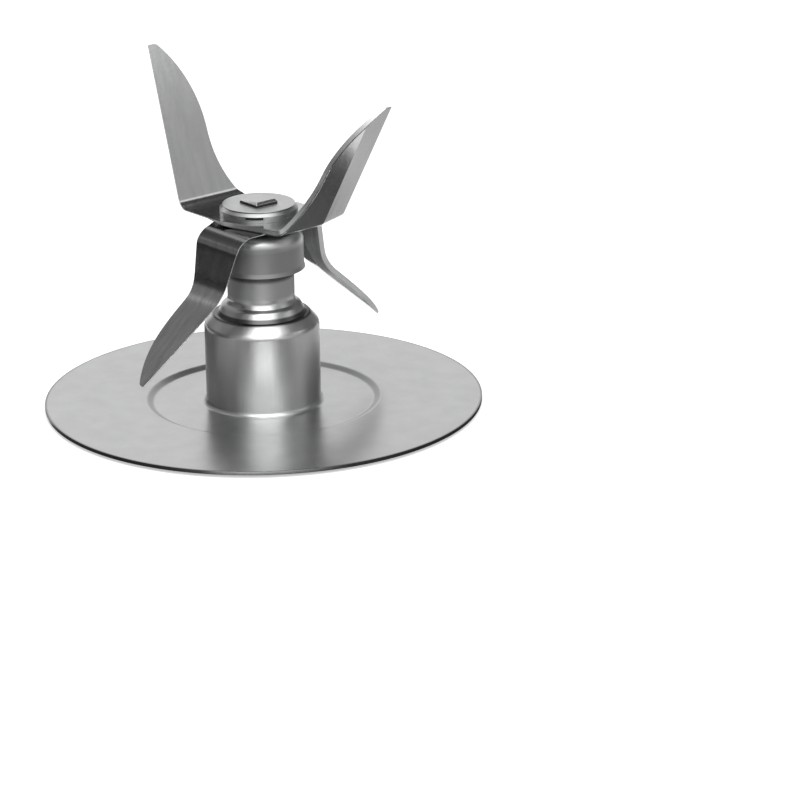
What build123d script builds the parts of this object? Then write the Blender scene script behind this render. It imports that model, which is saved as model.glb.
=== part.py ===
from build123d import *
import os
from math import cos, radians, sin, sqrt

# Blender jar blade assembly: a drawn steel base with a hub, and a rotor of two bent blades.
# Millimetres, +Z up along the spin axis, origin in the middle of the base's lowest face.

# Base: one deep-drawn sheet, sizes on its outer face, rounds on the inside of each bend
base_wall = 0.5
flange_radius = 30.5
recess_width = 7.3
recess_slope_width = 1.8
recess_depth = 0.45
recess_round = 1.0
hub_foot_round = 1.0
shoulder_width = 2.0
shoulder_round = 1.2
groove_round = 0.25
bead_step = 1.35
bead_height = 0.9
bead_round = 0.15
ramp_height = 1.4
neck_foot_round = 1.0
neck_top_round = 0.3

# Shaft and its square drive socket
shaft_radius = 3.0
shaft_square = 3.7
shaft_proud = 0.6
shaft_crown = 0.3
socket_square = 6.4
socket_wall = 0.975
socket_depth = 5.0
socket_grip = 2.4
socket_lift = 0.6
socket_chamfer = 0.5

# Bearing parts inside the hub and neck
lower_bush_length = 3.75
upper_bush_length = 5.9
upper_bush_wall = 1.11
felt_length = 3.8
seal_height = 1.8
thrust_thickness = 0.8
thrust_width = 1.3
retainer_thickness = 0.6

# Clearances: a running fit, loose fits, a press fit, end play, and a cutter's overrun
bush_clearance = 0.03
washer_clearance = 0.1
felt_clearance = 0.25
retainer_clearance = 0.6
square_clearance = 0.05
press_gap = 0.01
axial_play = 0.05
cut_margin = 1.0

# Slinger cap: an inverted drawn cup
cap_wall = 0.5
cap_gap = 0.9
cap_height = 6.1
cap_round = 1.1
cap_flare = 0.3
cap_flare_height = 1.4
cap_flare_round = 1.4

# Blades: stamped sheet, ground along the straight edges
blade_thickness = 0.8
blade_heading = 130.5
edge_land = 0.12
grind_width = 2.9
grind_hold = 5.0
grind_runout = 6.0
tip_round = 0.9

# Upper blade, in its blank's own axes: a steep arm and a lower one
upper_bend_radius = 1.2
upper_root = 3.4
upper_tip_taper = 0.65
upper_tip_width = 1.35
upper_waist_place = 9.0
upper_waist = 0.65
steep_bend_start = 8.0
steep_angle = 72.0
steep_edge = 6.7
steep_length = 22.0
low_bend_start = 8.5
low_angle = 57.0
low_edge = 7.2
low_length = 20.5

# Lower blade, in its blank's own axes: two like arms
lower_bend_start = 7.0
lower_bend_radius = 1.45
lower_drop_angle = 76.0
lower_edge = 6.6
lower_root = 2.2
lower_leg = 6.2
lower_knee_edge = 5.4
lower_knee = 1.25
lower_kick_angle = 33.4
lower_kick_radius = 2.0
lower_length = 14.9
lower_tip_edge = 2.05
lower_tip_width = 0.9
lower_belly_place = 6.2
lower_belly = 1.9

# Washers under the peened shaft end
spacer_radius = 5.4
spacer_thickness = 0.8
spacer_slope_width = 0.5
spacer_slope_height = 0.35
spacer_notch_width = 2.4
spacer_notch_height = 0.3
spacer_notch_depth = 0.8
washer_radius = 5.0
washer_thickness = 0.6
washer_chamfer = 0.2

# Radii from the shaft outwards
running_bore = shaft_radius + bush_clearance
washer_bore = shaft_radius + washer_clearance
thrust_outer = washer_bore + thrust_width
neck_fit = running_bore + upper_bush_wall
neck_bore = neck_fit + press_gap
neck_radius = neck_bore + base_wall
bead_radius = neck_radius + bead_step
hub_radius = bead_radius + shoulder_width
hub_fit = hub_radius - base_wall - press_gap
recess_radius = hub_radius + recess_width
cap_radius = neck_radius + cap_gap + cap_wall
socket_radius = socket_square / sqrt(2) + socket_wall
square_hole = shaft_square + 2 * square_clearance

# Heights from the socket upwards
journal_bottom = socket_lift + socket_depth
socket_top = journal_bottom + socket_grip
lower_bush_bottom = socket_top + axial_play + thrust_thickness
hub_ceiling = lower_bush_bottom + lower_bush_length
shoulder_height = hub_ceiling + base_wall
upper_bush_bottom = hub_ceiling + felt_length
upper_bush_top = upper_bush_bottom + upper_bush_length
neck_ceiling = upper_bush_top + seal_height
neck_top = neck_ceiling + base_wall
cap_ceiling = neck_top + thrust_thickness + axial_play
cap_top = cap_ceiling + cap_wall
cap_bottom = cap_top - cap_height
lower_blade_bottom = cap_top
upper_blade_bottom = lower_blade_bottom + blade_thickness
spacer_bottom = upper_blade_bottom + blade_thickness
washer_bottom = spacer_bottom + spacer_thickness
washer_top = washer_bottom + washer_thickness
shaft_top = washer_top + shaft_proud


def sheet_of_revolution(corners, bends, wall):
    """A drawn sheet spun about Z, from its outer outline and the inside radius of each bend."""
    points = [Vector(*corner) for corner in corners]
    runs = [(end - start).normalized() for start, end in zip(points, points[1:])]
    sides = [Vector(-run.Y, run.X) for run in runs]
    turns = [before.cross(after).Z for before, after in zip(runs, runs[1:])]
    inner = [points[0] + sides[0] * wall]
    for corner, before, after in zip(points[1:], sides, sides[1:]):
        inner.append(corner + (before + after) * (wall / (1 + before.dot(after))))
    inner.append(points[-1] + sides[-1] * wall)
    outer_rounds = [bend + wall if turn > 0 else bend for bend, turn in zip(bends, turns)]
    inner_rounds = [bend if turn > 0 else bend + wall for bend, turn in zip(bends, turns)]
    section = make_face([
        FilletPolyline(*points, radius=outer_rounds),
        Line(points[-1], inner[-1]),
        FilletPolyline(*inner, radius=inner_rounds),
        Line(inner[0], points[0]),
    ])
    return revolve(Plane.XZ * section, Axis.Z)


def turned(corners):
    """A solid of revolution about Z from its closed outline in radius and height."""
    return revolve(Plane.XZ * make_face(Polyline(*corners, close=True)), Axis.Z)


def ring(outer, inner, bottom, top):
    """A plain ring between two heights."""
    return turned([(inner, bottom), (outer, bottom), (outer, top), (inner, top)])


def bevelled_ring(outer, inner, bottom, top, bevel):
    """A ring whose upper outer rim is bevelled to clear a bend above it."""
    return turned([
        (inner, bottom),
        (outer, bottom),
        (outer, top - bevel),
        (outer - bevel, top),
        (inner, top),
    ])


def round_bar(radius, bottom, top):
    """A round bar on the axis between two heights."""
    return Pos(0, 0, bottom) * extrude(Circle(radius), top - bottom)


def square_bar(side, bottom, top):
    """A square bar on the axis, its flats in line with the blades."""
    bar = extrude(Rectangle(side, side), top - bottom)
    return Pos(0, 0, bottom) * Rot(0, 0, blade_heading) * bar


def ground_section(low, edge):
    """Section of a blade strip across its length, thinned from below along the straight edge."""
    corners = [
        (low, 0),
        (edge - grind_width, 0),
        (edge, blade_thickness - edge_land),
        (edge, blade_thickness),
        (low, blade_thickness),
    ]
    return Plane.YZ * make_face(Polyline(*corners, close=True))


def grind_wedge(edge):
    """Section of the metal that grinding takes off below the straight edge."""
    corners = [
        (edge - grind_width, 0),
        (edge + grind_width, 0),
        (edge + grind_width, blade_thickness - edge_land),
        (edge, blade_thickness - edge_land),
    ]
    return Plane.YZ * make_face(Polyline(*corners, close=True))


def bend_up(low, edge, angle, radius):
    """A strip bent towards its upper face, and the place where the next flat starts."""
    centre = blade_thickness + radius
    strip = revolve(ground_section(low, edge), Axis((0, 0, centre), (0, -1, 0)), angle)
    turn = radians(angle)
    end = Pos(centre * sin(turn), 0, centre - centre * cos(turn)) * Rot(0, -angle, 0)
    return strip, end


def bend_down(low, edge, angle, radius):
    """A strip bent towards its lower face, and the place where the next flat starts."""
    strip = revolve(ground_section(low, edge), Axis((0, 0, -radius), (0, 1, 0)), angle)
    turn = radians(angle)
    end = Pos(radius * sin(turn), 0, radius * cos(turn) - radius) * Rot(0, angle, 0)
    return strip, end


def ground_flat(outline, edge, far_point):
    """A flat of blade sheet from its closed outline, ground from the edge's start to far_point."""
    sheet = extrude(make_face(outline), blade_thickness)
    along = Vector(far_point[0], far_point[1] - edge, 0)
    wedge = extrude(grind_wedge(edge), along.length + cut_margin, dir=along.normalized())
    return sheet - wedge


def leaf_outline(root, edge, length, tip_edge, tip_width, turn_place, turn_depth):
    """Outline of a pointed leaf: a straight edge, a cut tip and a curved back with one turning point."""
    tip = (length, tip_edge)
    corner = (length, tip_edge - tip_width)
    turn = (turn_place, -turn_depth)
    back = TangentArc(turn, corner, tangent=(1, 0))
    heel = TangentArc(turn, (0, -root), tangent=(-1, 0))
    face = make_face([Line((0, edge), tip), Line(tip, corner), back, heel, Line((0, -root), (0, edge))])
    rounded = face.vertices().sort_by_distance(corner)[0]
    return fillet(rounded, tip_round).wire()


def hub_plate(arms, root):
    """The flat middle of a blade, from the bend start and straight edge of each of its two arms."""
    corners = []
    bands = []
    for turn, (start, edge), (_, far_edge) in ((0, *arms), (180, *reversed(arms))):
        chamfer_run = far_edge - root
        half = [(start, edge), (start, -root), (start - chamfer_run, -far_edge)]
        corners += [Vector(*corner).rotate(Axis.Z, turn) for corner in half]
        wedge = grind_wedge(edge)
        runout = Vector(-grind_runout, grind_width)
        held = extrude(wedge, grind_hold, dir=(-1, 0, 0))
        faded = Pos(-grind_hold, 0, 0) * extrude(wedge, runout.length, dir=runout.normalized())
        bands.append(Rot(0, 0, turn) * Pos(start, 0, 0) * (held + faded))
    plate = extrude(make_face(Polyline(*corners, close=True)), blade_thickness)
    plate -= extrude(Rectangle(square_hole, square_hole), blade_thickness)
    for band in bands:
        plate -= band
    return plate


def upper_arm(start, angle, edge, length):
    """One rising arm of the upper blade, outward along +X with its straight edge on +Y."""
    strip, place = bend_up(-upper_root, edge, angle, upper_bend_radius)
    tip_edge = edge - upper_tip_taper
    outline = leaf_outline(
        upper_root, edge, length, tip_edge, upper_tip_width, upper_waist_place, upper_waist,
    )
    leaf = ground_flat(outline, edge, (length, tip_edge))
    return Pos(start, 0, 0) * (strip + place * leaf)


def lower_arm():
    """One falling arm of the lower blade: down past the cap, then kicked outward to its tip."""
    drop, leg_place = bend_down(-lower_root, lower_edge, lower_drop_angle, lower_bend_radius)
    leg_corners = [
        (0, lower_edge),
        (lower_leg, lower_knee_edge),
        (lower_leg, -lower_knee),
        (0, -lower_root),
    ]
    leg_outline = Polyline(*leg_corners, close=True)
    leg = ground_flat(leg_outline, lower_edge, (lower_leg, lower_knee_edge))
    knee, leaf_start = bend_up(-lower_knee, lower_knee_edge, lower_kick_angle, lower_kick_radius)
    outline = leaf_outline(
        lower_knee, lower_knee_edge, lower_length, lower_tip_edge, lower_tip_width,
        lower_belly_place, lower_belly,
    )
    leaf = ground_flat(outline, lower_knee_edge, (lower_length, lower_tip_edge))
    knee_place = leg_place * Pos(lower_leg, 0, 0)
    arm = drop + leg_place * leg + knee_place * knee + knee_place * leaf_start * leaf
    return Pos(lower_bend_start, 0, 0) * arm


def base_flange():
    """Flange, recessed floor, hub, bead and neck, drawn from one sheet."""
    flange_top = recess_depth + base_wall
    bead_top = shoulder_height + bead_height
    corners = [
        (flange_radius, flange_top),
        (recess_radius + recess_slope_width, flange_top),
        (recess_radius, base_wall),
        (hub_radius, base_wall),
        (hub_radius, shoulder_height),
        (bead_radius, shoulder_height),
        (bead_radius, bead_top),
        (neck_radius, bead_top + ramp_height),
        (neck_radius, neck_top),
        (washer_bore, neck_top),
    ]
    rounds = [
        recess_round, recess_round, hub_foot_round, shoulder_round, groove_round,
        bead_round, neck_foot_round, neck_top_round,
    ]
    return sheet_of_revolution(corners, rounds, base_wall)


def drive_shaft():
    """Round journal with a square upper end that carries the blades."""
    journal = round_bar(shaft_radius, journal_bottom, cap_ceiling)
    square = square_bar(shaft_square, cap_ceiling, shaft_top)
    square = chamfer(square.faces().sort_by(Axis.Z)[-1].edges(), shaft_crown)
    return journal + square


def drive_socket():
    """Coupling pressed on the shaft's lower end, with a square socket open below."""
    body = ring(socket_radius, shaft_radius + press_gap, socket_lift, socket_top)
    body -= square_bar(socket_square, socket_lift, journal_bottom)
    rim = body.faces().sort_by(Axis.Z)[0].outer_wire().edges()
    return chamfer(rim, socket_chamfer)


def slinger_cap():
    """Inverted cup that throws liquid off the neck, held under the lower blade."""
    flare_top = cap_bottom + cap_flare_height
    corners = [
        (cap_radius + cap_flare, cap_bottom),
        (cap_radius, flare_top),
        (cap_radius, cap_top),
        (0, cap_top),
    ]
    cup = sheet_of_revolution(corners, [cap_flare_round, cap_round], cap_wall)
    return cup - square_bar(square_hole, cap_bottom, cap_top)


def lower_blade():
    """Stamped blade with both arms bent down, square to the upper blade."""
    blank = hub_plate([(lower_bend_start, lower_edge)] * 2, lower_root)
    for turn in (0, 180):
        blank += Rot(0, 0, turn) * lower_arm()
    return Pos(0, 0, lower_blade_bottom) * Rot(0, 0, blade_heading + 90) * blank


def upper_blade():
    """Stamped blade with both arms bent up, one steeper than the other."""
    blank = hub_plate([(steep_bend_start, steep_edge), (low_bend_start, low_edge)], upper_root)
    blank += upper_arm(steep_bend_start, steep_angle, steep_edge, steep_length)
    blank += Rot(0, 0, 180) * upper_arm(low_bend_start, low_angle, low_edge, low_length)
    return Pos(0, 0, upper_blade_bottom) * Rot(0, 0, blade_heading) * blank


def spacer_washer():
    """Washer with a sloped rim on the upper blade, slotted below over the blade's front corner."""
    washer = turned([
        (0, spacer_bottom),
        (spacer_radius, spacer_bottom),
        (spacer_radius, washer_bottom - spacer_slope_height),
        (spacer_radius - spacer_slope_width, washer_bottom),
        (0, washer_bottom),
    ])
    washer -= square_bar(square_hole, spacer_bottom, washer_bottom)
    notch = Box(spacer_notch_depth, spacer_notch_width, spacer_notch_height)
    notch_place = Pos(spacer_radius, 0, spacer_bottom + spacer_notch_height / 2)
    return washer - Rot(0, 0, blade_heading + 135) * notch_place * notch


def top_washer():
    """Washer that the shaft's end is peened over, bevelled below."""
    washer = turned([
        (0, washer_bottom),
        (washer_radius - washer_chamfer, washer_bottom),
        (washer_radius, washer_bottom + washer_chamfer),
        (washer_radius, washer_top),
        (0, washer_top),
    ])
    return washer - square_bar(square_hole, washer_bottom, washer_top)


def thrust_washer(bottom):
    """Thin bearing washer round the shaft."""
    return ring(thrust_outer, washer_bore, bottom, bottom + thrust_thickness)


felt_outer = neck_bore - felt_clearance
felt_bore = shaft_radius + felt_clearance
retainer_opening = thrust_outer + retainer_clearance
retainer_bottom = lower_bush_bottom - retainer_thickness

nodes = {
    "base_flange": base_flange(),
    "upper_bush": ring(neck_fit, running_bore, upper_bush_bottom, upper_bush_top),
    "lower_bush": bevelled_ring(hub_fit, running_bore, lower_bush_bottom, hub_ceiling, shoulder_round),
    "oil_felt": ring(felt_outer, felt_bore, hub_ceiling, upper_bush_bottom),
    "shaft_seal": bevelled_ring(neck_fit, running_bore, upper_bush_top, neck_ceiling, neck_top_round),
    "upper_thrust_washer": thrust_washer(neck_top),
    "lower_thrust_washer": thrust_washer(lower_bush_bottom - thrust_thickness),
    "bush_retainer": ring(hub_fit, retainer_opening, retainer_bottom, lower_bush_bottom),
    "drive_shaft": drive_shaft(),
    "drive_socket": drive_socket(),
    "slinger_cap": slinger_cap(),
    "lower_blade": lower_blade(),
    "upper_blade": upper_blade(),
    "spacer_washer": spacer_washer(),
    "top_washer": top_washer(),
}

os.makedirs("parts", exist_ok=True)
for name, solid in nodes.items():
    export_step(solid, f"parts/{name}.step")
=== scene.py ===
"""Blender jar blade assembly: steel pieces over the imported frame, in a plain pale studio."""

import logging
import math
from dataclasses import dataclass, field
from enum import Enum
from typing import Any, Callable, Iterator, Sequence

import bmesh
import bpy
from mathutils import Matrix, Vector


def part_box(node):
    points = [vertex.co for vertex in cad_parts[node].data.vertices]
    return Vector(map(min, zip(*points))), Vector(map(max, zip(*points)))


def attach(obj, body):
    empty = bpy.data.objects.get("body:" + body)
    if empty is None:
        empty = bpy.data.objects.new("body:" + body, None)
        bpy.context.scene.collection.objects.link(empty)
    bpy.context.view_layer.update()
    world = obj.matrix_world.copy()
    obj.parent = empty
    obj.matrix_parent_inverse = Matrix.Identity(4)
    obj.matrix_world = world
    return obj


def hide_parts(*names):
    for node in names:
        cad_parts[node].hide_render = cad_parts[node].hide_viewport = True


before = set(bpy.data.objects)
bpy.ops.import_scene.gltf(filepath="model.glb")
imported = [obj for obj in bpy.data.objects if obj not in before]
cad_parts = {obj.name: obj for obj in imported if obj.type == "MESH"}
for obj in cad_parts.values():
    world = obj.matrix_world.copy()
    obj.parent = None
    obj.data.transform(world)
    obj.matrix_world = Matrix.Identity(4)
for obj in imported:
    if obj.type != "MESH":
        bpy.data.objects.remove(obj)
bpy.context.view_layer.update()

# Sizes in the classes are in millimetres, and a finished piece is brought to metres.
MM = 0.001
MERGE_GAP = 1e-4
NEAR_GAP = 1e-3
BOX_TRIM = 1e-3
CUT_MARGIN = 1.0

# How finely curves are divided, and where rims begin.
SPIN_STEPS = 240
ARC_STEP = math.radians(9.0)
ARC_STEPS_LEAST = 3
FOLD_STEP = math.radians(6.0)
RIM_ANGLE = math.radians(40.0)
RIM_SEGMENTS = 3
SMOOTH_ANGLE = math.radians(36.0)

# The blades' place about the spin axis, their sheet, and the rows that an arm grows by.
HEADING = math.radians(130.5)
BLADE_SHEET = 0.8
PLATE_START = 0.3
PLATE_ROWS, LEG_ROWS, LEAF_ROWS = 3, 6, 34
TIP_EASE = 1.5

# Names and ranges that the materials share.
THROUGH = "through"
GRAIN, POLISH, SPECKS, SHEAR = "brushed_grain", "edge_polish", "fine_specks", "sheared_wall"
FLOAT, VECTOR = "NodeSocketFloat", "NodeSocketVector"
FLATTEN = 1e6
# Fade, in millimetres, at the edges of the circles of painted shade.
SHADE_RING_FADE = 0.3
BUMP_DEPTH = 0.1 * MM

MAT_LIFT = 0.00002

log = logging.getLogger("blade_assembly")


class Body(Enum):
    """The two bodies that the pieces ride on."""

    BASE = "base"
    ROTOR = "rotor"


class Slot(Enum):
    """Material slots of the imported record."""

    DISC = "disc_steel"
    BLADE = "blade_steel"
    CAP = "cap_steel"
    WASHER = "washer_steel"
    SHAFT = "shaft_steel"
    SOCKET = "socket_steel"
    RETAINER = "retainer_steel"
    BRONZE = "bush_bronze"
    FELT = "felt"
    RUBBER = "seal_rubber"
    PLASTIC = "thrust_plastic"


class Bend(Enum):
    """The way a blade's sheet is folded, seen along the arm."""

    UP = 1
    DOWN = -1


Point2 = tuple[float, float]
Point3 = tuple[float, float, float]


def node_span(node: str) -> tuple[float, float]:
    """Height of a node's lowest and highest point.

    Args:
        node: Name of a CAD node.

    Returns:
        The two heights in millimetres.
    """
    low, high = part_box(node)
    return low.z / MM, high.z / MM


def node_radius(node: str) -> float:
    """Outer radius of a round CAD node, a hair inside its box.

    Args:
        node: Name of a CAD node.

    Returns:
        The radius in millimetres.
    """
    return min(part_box(node)[1].xy) / MM - BOX_TRIM


def rounded_path(corners: Sequence[Point2], rounds: Sequence[float]) -> list[Vector]:
    """Points of a path whose inner corners are arcs.

    Args:
        corners: Radius and height of each corner, ends included.
        rounds: Radius of the arc at each corner between the ends.

    Returns:
        The path's points in the XZ plane.
    """
    path = [Vector(corners[0])]
    for before, corner, after, radius in zip(corners, corners[1:], corners[2:], rounds):
        corner = Vector(corner)
        back = (Vector(before) - corner).normalized()
        ahead = (Vector(after) - corner).normalized()
        turn = math.pi - back.angle(ahead)
        centre = corner + (back + ahead).normalized() * (radius / math.cos(turn / 2))
        spoke = corner + back * (radius * math.tan(turn / 2)) - centre
        way = math.copysign(turn, ahead.cross(back))
        steps = max(ARC_STEPS_LEAST, round(turn / ARC_STEP))
        path += [centre + Matrix.Rotation(way * k / steps, 2) @ spoke for k in range(steps + 1)]
    path.append(Vector(corners[-1]))
    return [Vector((point.x, 0.0, point.y)) for point in path]


class Workpiece:
    """One mesh on the bench, drawn in millimetres and brought to metres when it is finished."""

    def __init__(self, name: str) -> None:
        """Take the primitive that was just added, put it in place and open it for editing.

        Args:
            name: Name of the piece.
        """
        bpy.ops.object.transform_apply(location=True, rotation=True, scale=True)
        self.shape = bpy.context.object
        self.shape.name = name
        self.shape.data.name = name
        bpy.ops.object.mode_set(mode="EDIT")

    @staticmethod
    def clear_bench() -> None:
        """Leave edit mode and deselect everything, the frame's own nodes included."""
        if bpy.context.object and bpy.context.object.mode != "OBJECT":
            bpy.ops.object.mode_set(mode="OBJECT")
        bpy.ops.object.select_all(action="DESELECT")

    @classmethod
    def point(cls, name: str, place: Vector) -> "Workpiece":
        """A plane drawn together to one point, to extrude a profile from.

        Args:
            name: Name of the piece.
            place: Where the point lies.

        Returns:
            The piece, in edit mode with its point selected.
        """
        cls.clear_bench()
        bpy.ops.mesh.primitive_plane_add(size=1.0)
        piece = cls(name)
        bpy.ops.mesh.select_all(action="SELECT")
        bpy.ops.mesh.merge(type="CENTER")
        bpy.ops.transform.translate(value=place)
        return piece

    @classmethod
    def drum(cls, name: str, radius: float, bottom: float, top: float, sides: int) -> "Workpiece":
        """A round blank on the axis between two heights.

        Args:
            name: Name of the piece.
            radius: Outer radius.
            bottom: Height of its lower face.
            top: Height of its upper face.
            sides: Number of sides round it.

        Returns:
            The piece, in edit mode.
        """
        cls.clear_bench()
        middle = (0.0, 0.0, (bottom + top) / 2)
        bpy.ops.mesh.primitive_cylinder_add(
            vertices=sides, radius=radius, depth=top - bottom, location=middle,
        )
        return cls(name)

    @classmethod
    def block(cls, name: str, size: Vector, middle: Vector, turn: float = 0.0) -> "Workpiece":
        """A square-edged block.

        Args:
            name: Name of the piece.
            size: Its length along each of its own axes.
            middle: Its middle, before it is turned about the spin axis.
            turn: Angle about the spin axis.

        Returns:
            The piece, in edit mode.
        """
        cls.clear_bench()
        place = Matrix.Rotation(turn, 3, "Z") @ middle
        bpy.ops.mesh.primitive_cube_add(size=1.0, location=place, rotation=(0.0, 0.0, turn))
        bpy.context.object.scale = size
        return cls(name)

    @classmethod
    def sheet(cls, name: str, low: Vector, high: Vector, columns: int) -> "Workpiece":
        """A level sheet between two corners, divided across.

        Args:
            name: Name of the piece.
            low: Its corner with the lowest X and Y.
            high: Its corner with the highest X and Y.
            columns: Number of divisions along Y.

        Returns:
            The piece, in edit mode.
        """
        cls.clear_bench()
        bpy.ops.mesh.primitive_grid_add(
            x_subdivisions=1, y_subdivisions=columns, size=1.0, location=(low + high) / 2,
        )
        bpy.context.object.scale = (high.x - low.x, high.y - low.y, 1.0)
        return cls(name)

    def pick(self, test: Callable[[Vector], bool]) -> None:
        """Select vertices, with the edges and faces between them, by their place.

        Args:
            test: Says of a place whether it is wanted.
        """
        bpy.ops.mesh.select_all(action="DESELECT")
        mesh = bmesh.from_edit_mesh(self.shape.data)
        for vertex in mesh.verts:
            vertex.select = test(vertex.co)
        mesh.select_flush(True)
        bmesh.update_edit_mesh(self.shape.data)

    def pick_faces(self, test: Callable[[Vector], bool]) -> None:
        """Select faces by the place of their middle.

        Args:
            test: Says of a place whether it is wanted.
        """
        bpy.ops.mesh.select_all(action="DESELECT")
        mesh = bmesh.from_edit_mesh(self.shape.data)
        for face in mesh.faces:
            if test(face.calc_center_median()):
                face.select_set(True)
        bmesh.update_edit_mesh(self.shape.data)

    def pull(self, step: Vector) -> None:
        """Extrude the selected edges or faces by one step."""
        bpy.ops.mesh.extrude_region_move(TRANSFORM_OT_translate={"value": step})

    def draw(self, path: Sequence[Vector]) -> None:
        """Extrude the selected point along the rest of a path."""
        for start, end in zip(path, path[1:]):
            bpy.ops.mesh.extrude_vertices_move(TRANSFORM_OT_translate={"value": end - start})

    def spin(self, angle: float, centre: Vector, axis: Vector, steps: int) -> None:
        """Sweep the selection round an axis through a centre, by the right-hand rule."""
        bpy.ops.mesh.spin(steps=steps, angle=-angle, center=centre, axis=axis)

    def lathe(self) -> None:
        """Sweep the whole profile once round the spin axis, close the seam and face it outwards."""
        bpy.ops.mesh.select_all(action="SELECT")
        self.spin(math.tau, Vector(), Vector((0.0, 0.0, 1.0)), SPIN_STEPS)
        bpy.ops.mesh.select_all(action="SELECT")
        bpy.ops.mesh.remove_doubles(threshold=MERGE_GAP)
        bpy.ops.mesh.normals_make_consistent(inside=False)

    def face_up(self, test: Callable[[Vector], bool]) -> None:
        """Turn an open sheet over if some of its faces look down.

        Args:
            test: Says of a face's middle whether the face counts.
        """
        mesh = bmesh.from_edit_mesh(self.shape.data)
        level = sum(face.normal.z for face in mesh.faces if test(face.calc_center_median()))
        if level < 0.0:
            bpy.ops.mesh.select_all(action="SELECT")
            bpy.ops.mesh.flip_normals()

    def slice(self, point: Vector, normal: Vector) -> None:
        """Cut the selected faces along a plane, and mark the cut as a crease."""
        bpy.ops.mesh.bisect(plane_co=point, plane_no=normal, threshold=MERGE_GAP)
        bpy.ops.mesh.mark_sharp()

    def bevel(self, width: float) -> None:
        """Bevel the selected edges."""
        bpy.ops.mesh.bevel(offset=width, segments=1, affect="EDGES", clamp_overlap=True)

    def change(self, kind: str, **settings: Any) -> None:
        """Add a modifier and apply it.

        Args:
            kind: Type of the modifier.
            **settings: Values of its settings.
        """
        bpy.ops.object.mode_set(mode="OBJECT")
        modifier = self.shape.modifiers.new(kind.lower(), kind)
        for key, value in settings.items():
            setattr(modifier, key, value)
        bpy.ops.object.modifier_apply(modifier=modifier.name)
        bpy.ops.object.mode_set(mode="EDIT")

    def join(self, tool: "Workpiece", operation: str) -> None:
        """Combine with another piece, which is used up.

        Args:
            tool: The other piece.
            operation: DIFFERENCE to cut it away, UNION to fuse it on.
        """
        bpy.ops.object.mode_set(mode="OBJECT")
        self.clear_bench()
        self.shape.select_set(True)
        bpy.context.view_layer.objects.active = self.shape
        self.change("BOOLEAN", operation=operation, solver="EXACT", object=tool.shape)
        bpy.data.meshes.remove(tool.shape.data)

    def finish(self, rim: float, lift: float = 0.0, turn: float = 0.0) -> bpy.types.Object:
        """Round the rims, shade the piece, set it in place and bring it to metres.

        Args:
            rim: Width of the rounding on sharp edges.
            lift: Height that it is raised by.
            turn: Angle that it is turned by about the spin axis.

        Returns:
            The finished piece, at the origin with its place in its mesh.
        """
        bpy.ops.object.mode_set(mode="OBJECT")
        bpy.ops.object.shade_smooth_by_angle(angle=SMOOTH_ANGLE, keep_sharp_edges=True)
        self.change(
            "BEVEL", width=rim, segments=RIM_SEGMENTS, limit_method="ANGLE", angle_limit=RIM_ANGLE,
            harden_normals=True,
        )
        bpy.ops.object.mode_set(mode="OBJECT")
        self.shape.location.z = lift * MM
        self.shape.rotation_euler.z = turn
        self.shape.scale = (MM, MM, MM)
        bpy.ops.object.transform_apply(location=True, rotation=True, scale=True)
        return self.shape


@dataclass(frozen=True)
class DrawnBase:
    """The base: flange, recessed floor, hub, bead and neck drawn from one sheet, in millimetres."""

    wall: float = 0.5
    recess_radius: float = 15.3
    recess_slope: float = 1.1
    recess_depth: float = 0.45
    recess_rounds: Point2 = (0.9, 0.7)
    hub_radius: float = 8.0
    foot_round: float = 0.7
    shoulder_height: float = 13.35
    shoulder_drop: float = 1.45
    shoulder_radius: float = 6.7
    shoulder_rounds: Point2 = (1.2, 0.25)
    groove_round: float = 0.08
    bead_foot: float = 6.2
    bead_radius: float = 5.5
    bead_height: float = 1.3
    bead_round: float = 0.7
    ledge_radius: float = 4.95
    ledge_rise: float = 0.3
    ledge_round: float = 0.2
    ramp_rise: float = 0.65
    neck_radius: float = 4.65
    neck_rounds: Point2 = (1.0, 0.8)
    bore: float = 3.1
    rim: float = 0.2

    def outline(self) -> list[Vector]:
        """Outer outline of the sheet, from the flange's rim to the bore at the top of the neck.

        Returns:
            The outline's points in the XZ plane.
        """
        flange_radius = node_radius("base_flange")
        _, neck_top = node_span("base_flange")
        flange_top = self.recess_depth + self.wall
        bead_top = self.shoulder_height + self.bead_height
        ledge_top = bead_top + self.ledge_rise
        corners = [
            (flange_radius, flange_top),
            (self.recess_radius + self.recess_slope, flange_top),
            (self.recess_radius, self.wall),
            (self.hub_radius, self.wall),
            (self.hub_radius, self.shoulder_height - self.shoulder_drop),
            (self.shoulder_radius, self.shoulder_height),
            (self.bead_foot, self.shoulder_height),
            (self.bead_radius, bead_top),
            (self.ledge_radius, ledge_top),
            (self.neck_radius, ledge_top + self.ramp_rise),
            (self.neck_radius, neck_top),
            (self.bore, neck_top),
        ]
        rounds = [
            *self.recess_rounds, self.foot_round, *self.shoulder_rounds, self.groove_round,
            self.bead_round, self.ledge_round, *self.neck_rounds,
        ]
        return rounded_path(corners, rounds)

    def build(self) -> bpy.types.Object:
        """Draw the outline, spin it and give the sheet its wall.

        Returns:
            The finished base.
        """
        path = self.outline()
        sheet = Workpiece.point("drawn_base", path[0])
        sheet.draw(path)
        sheet.lathe()
        sheet.face_up(lambda place: place.xy.length > self.recess_radius + self.recess_slope)
        sheet.change("SOLIDIFY", thickness=self.wall, offset=-1.0, use_even_offset=True)
        return sheet.finish(self.rim)

    def dress(self, piece: bpy.types.Object, steel: "SteelFinish") -> None:
        """Give the base its finish and set it on its body in place of the plain solid."""
        put_on(piece, steel.material(), Body.BASE, "base_flange")


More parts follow.
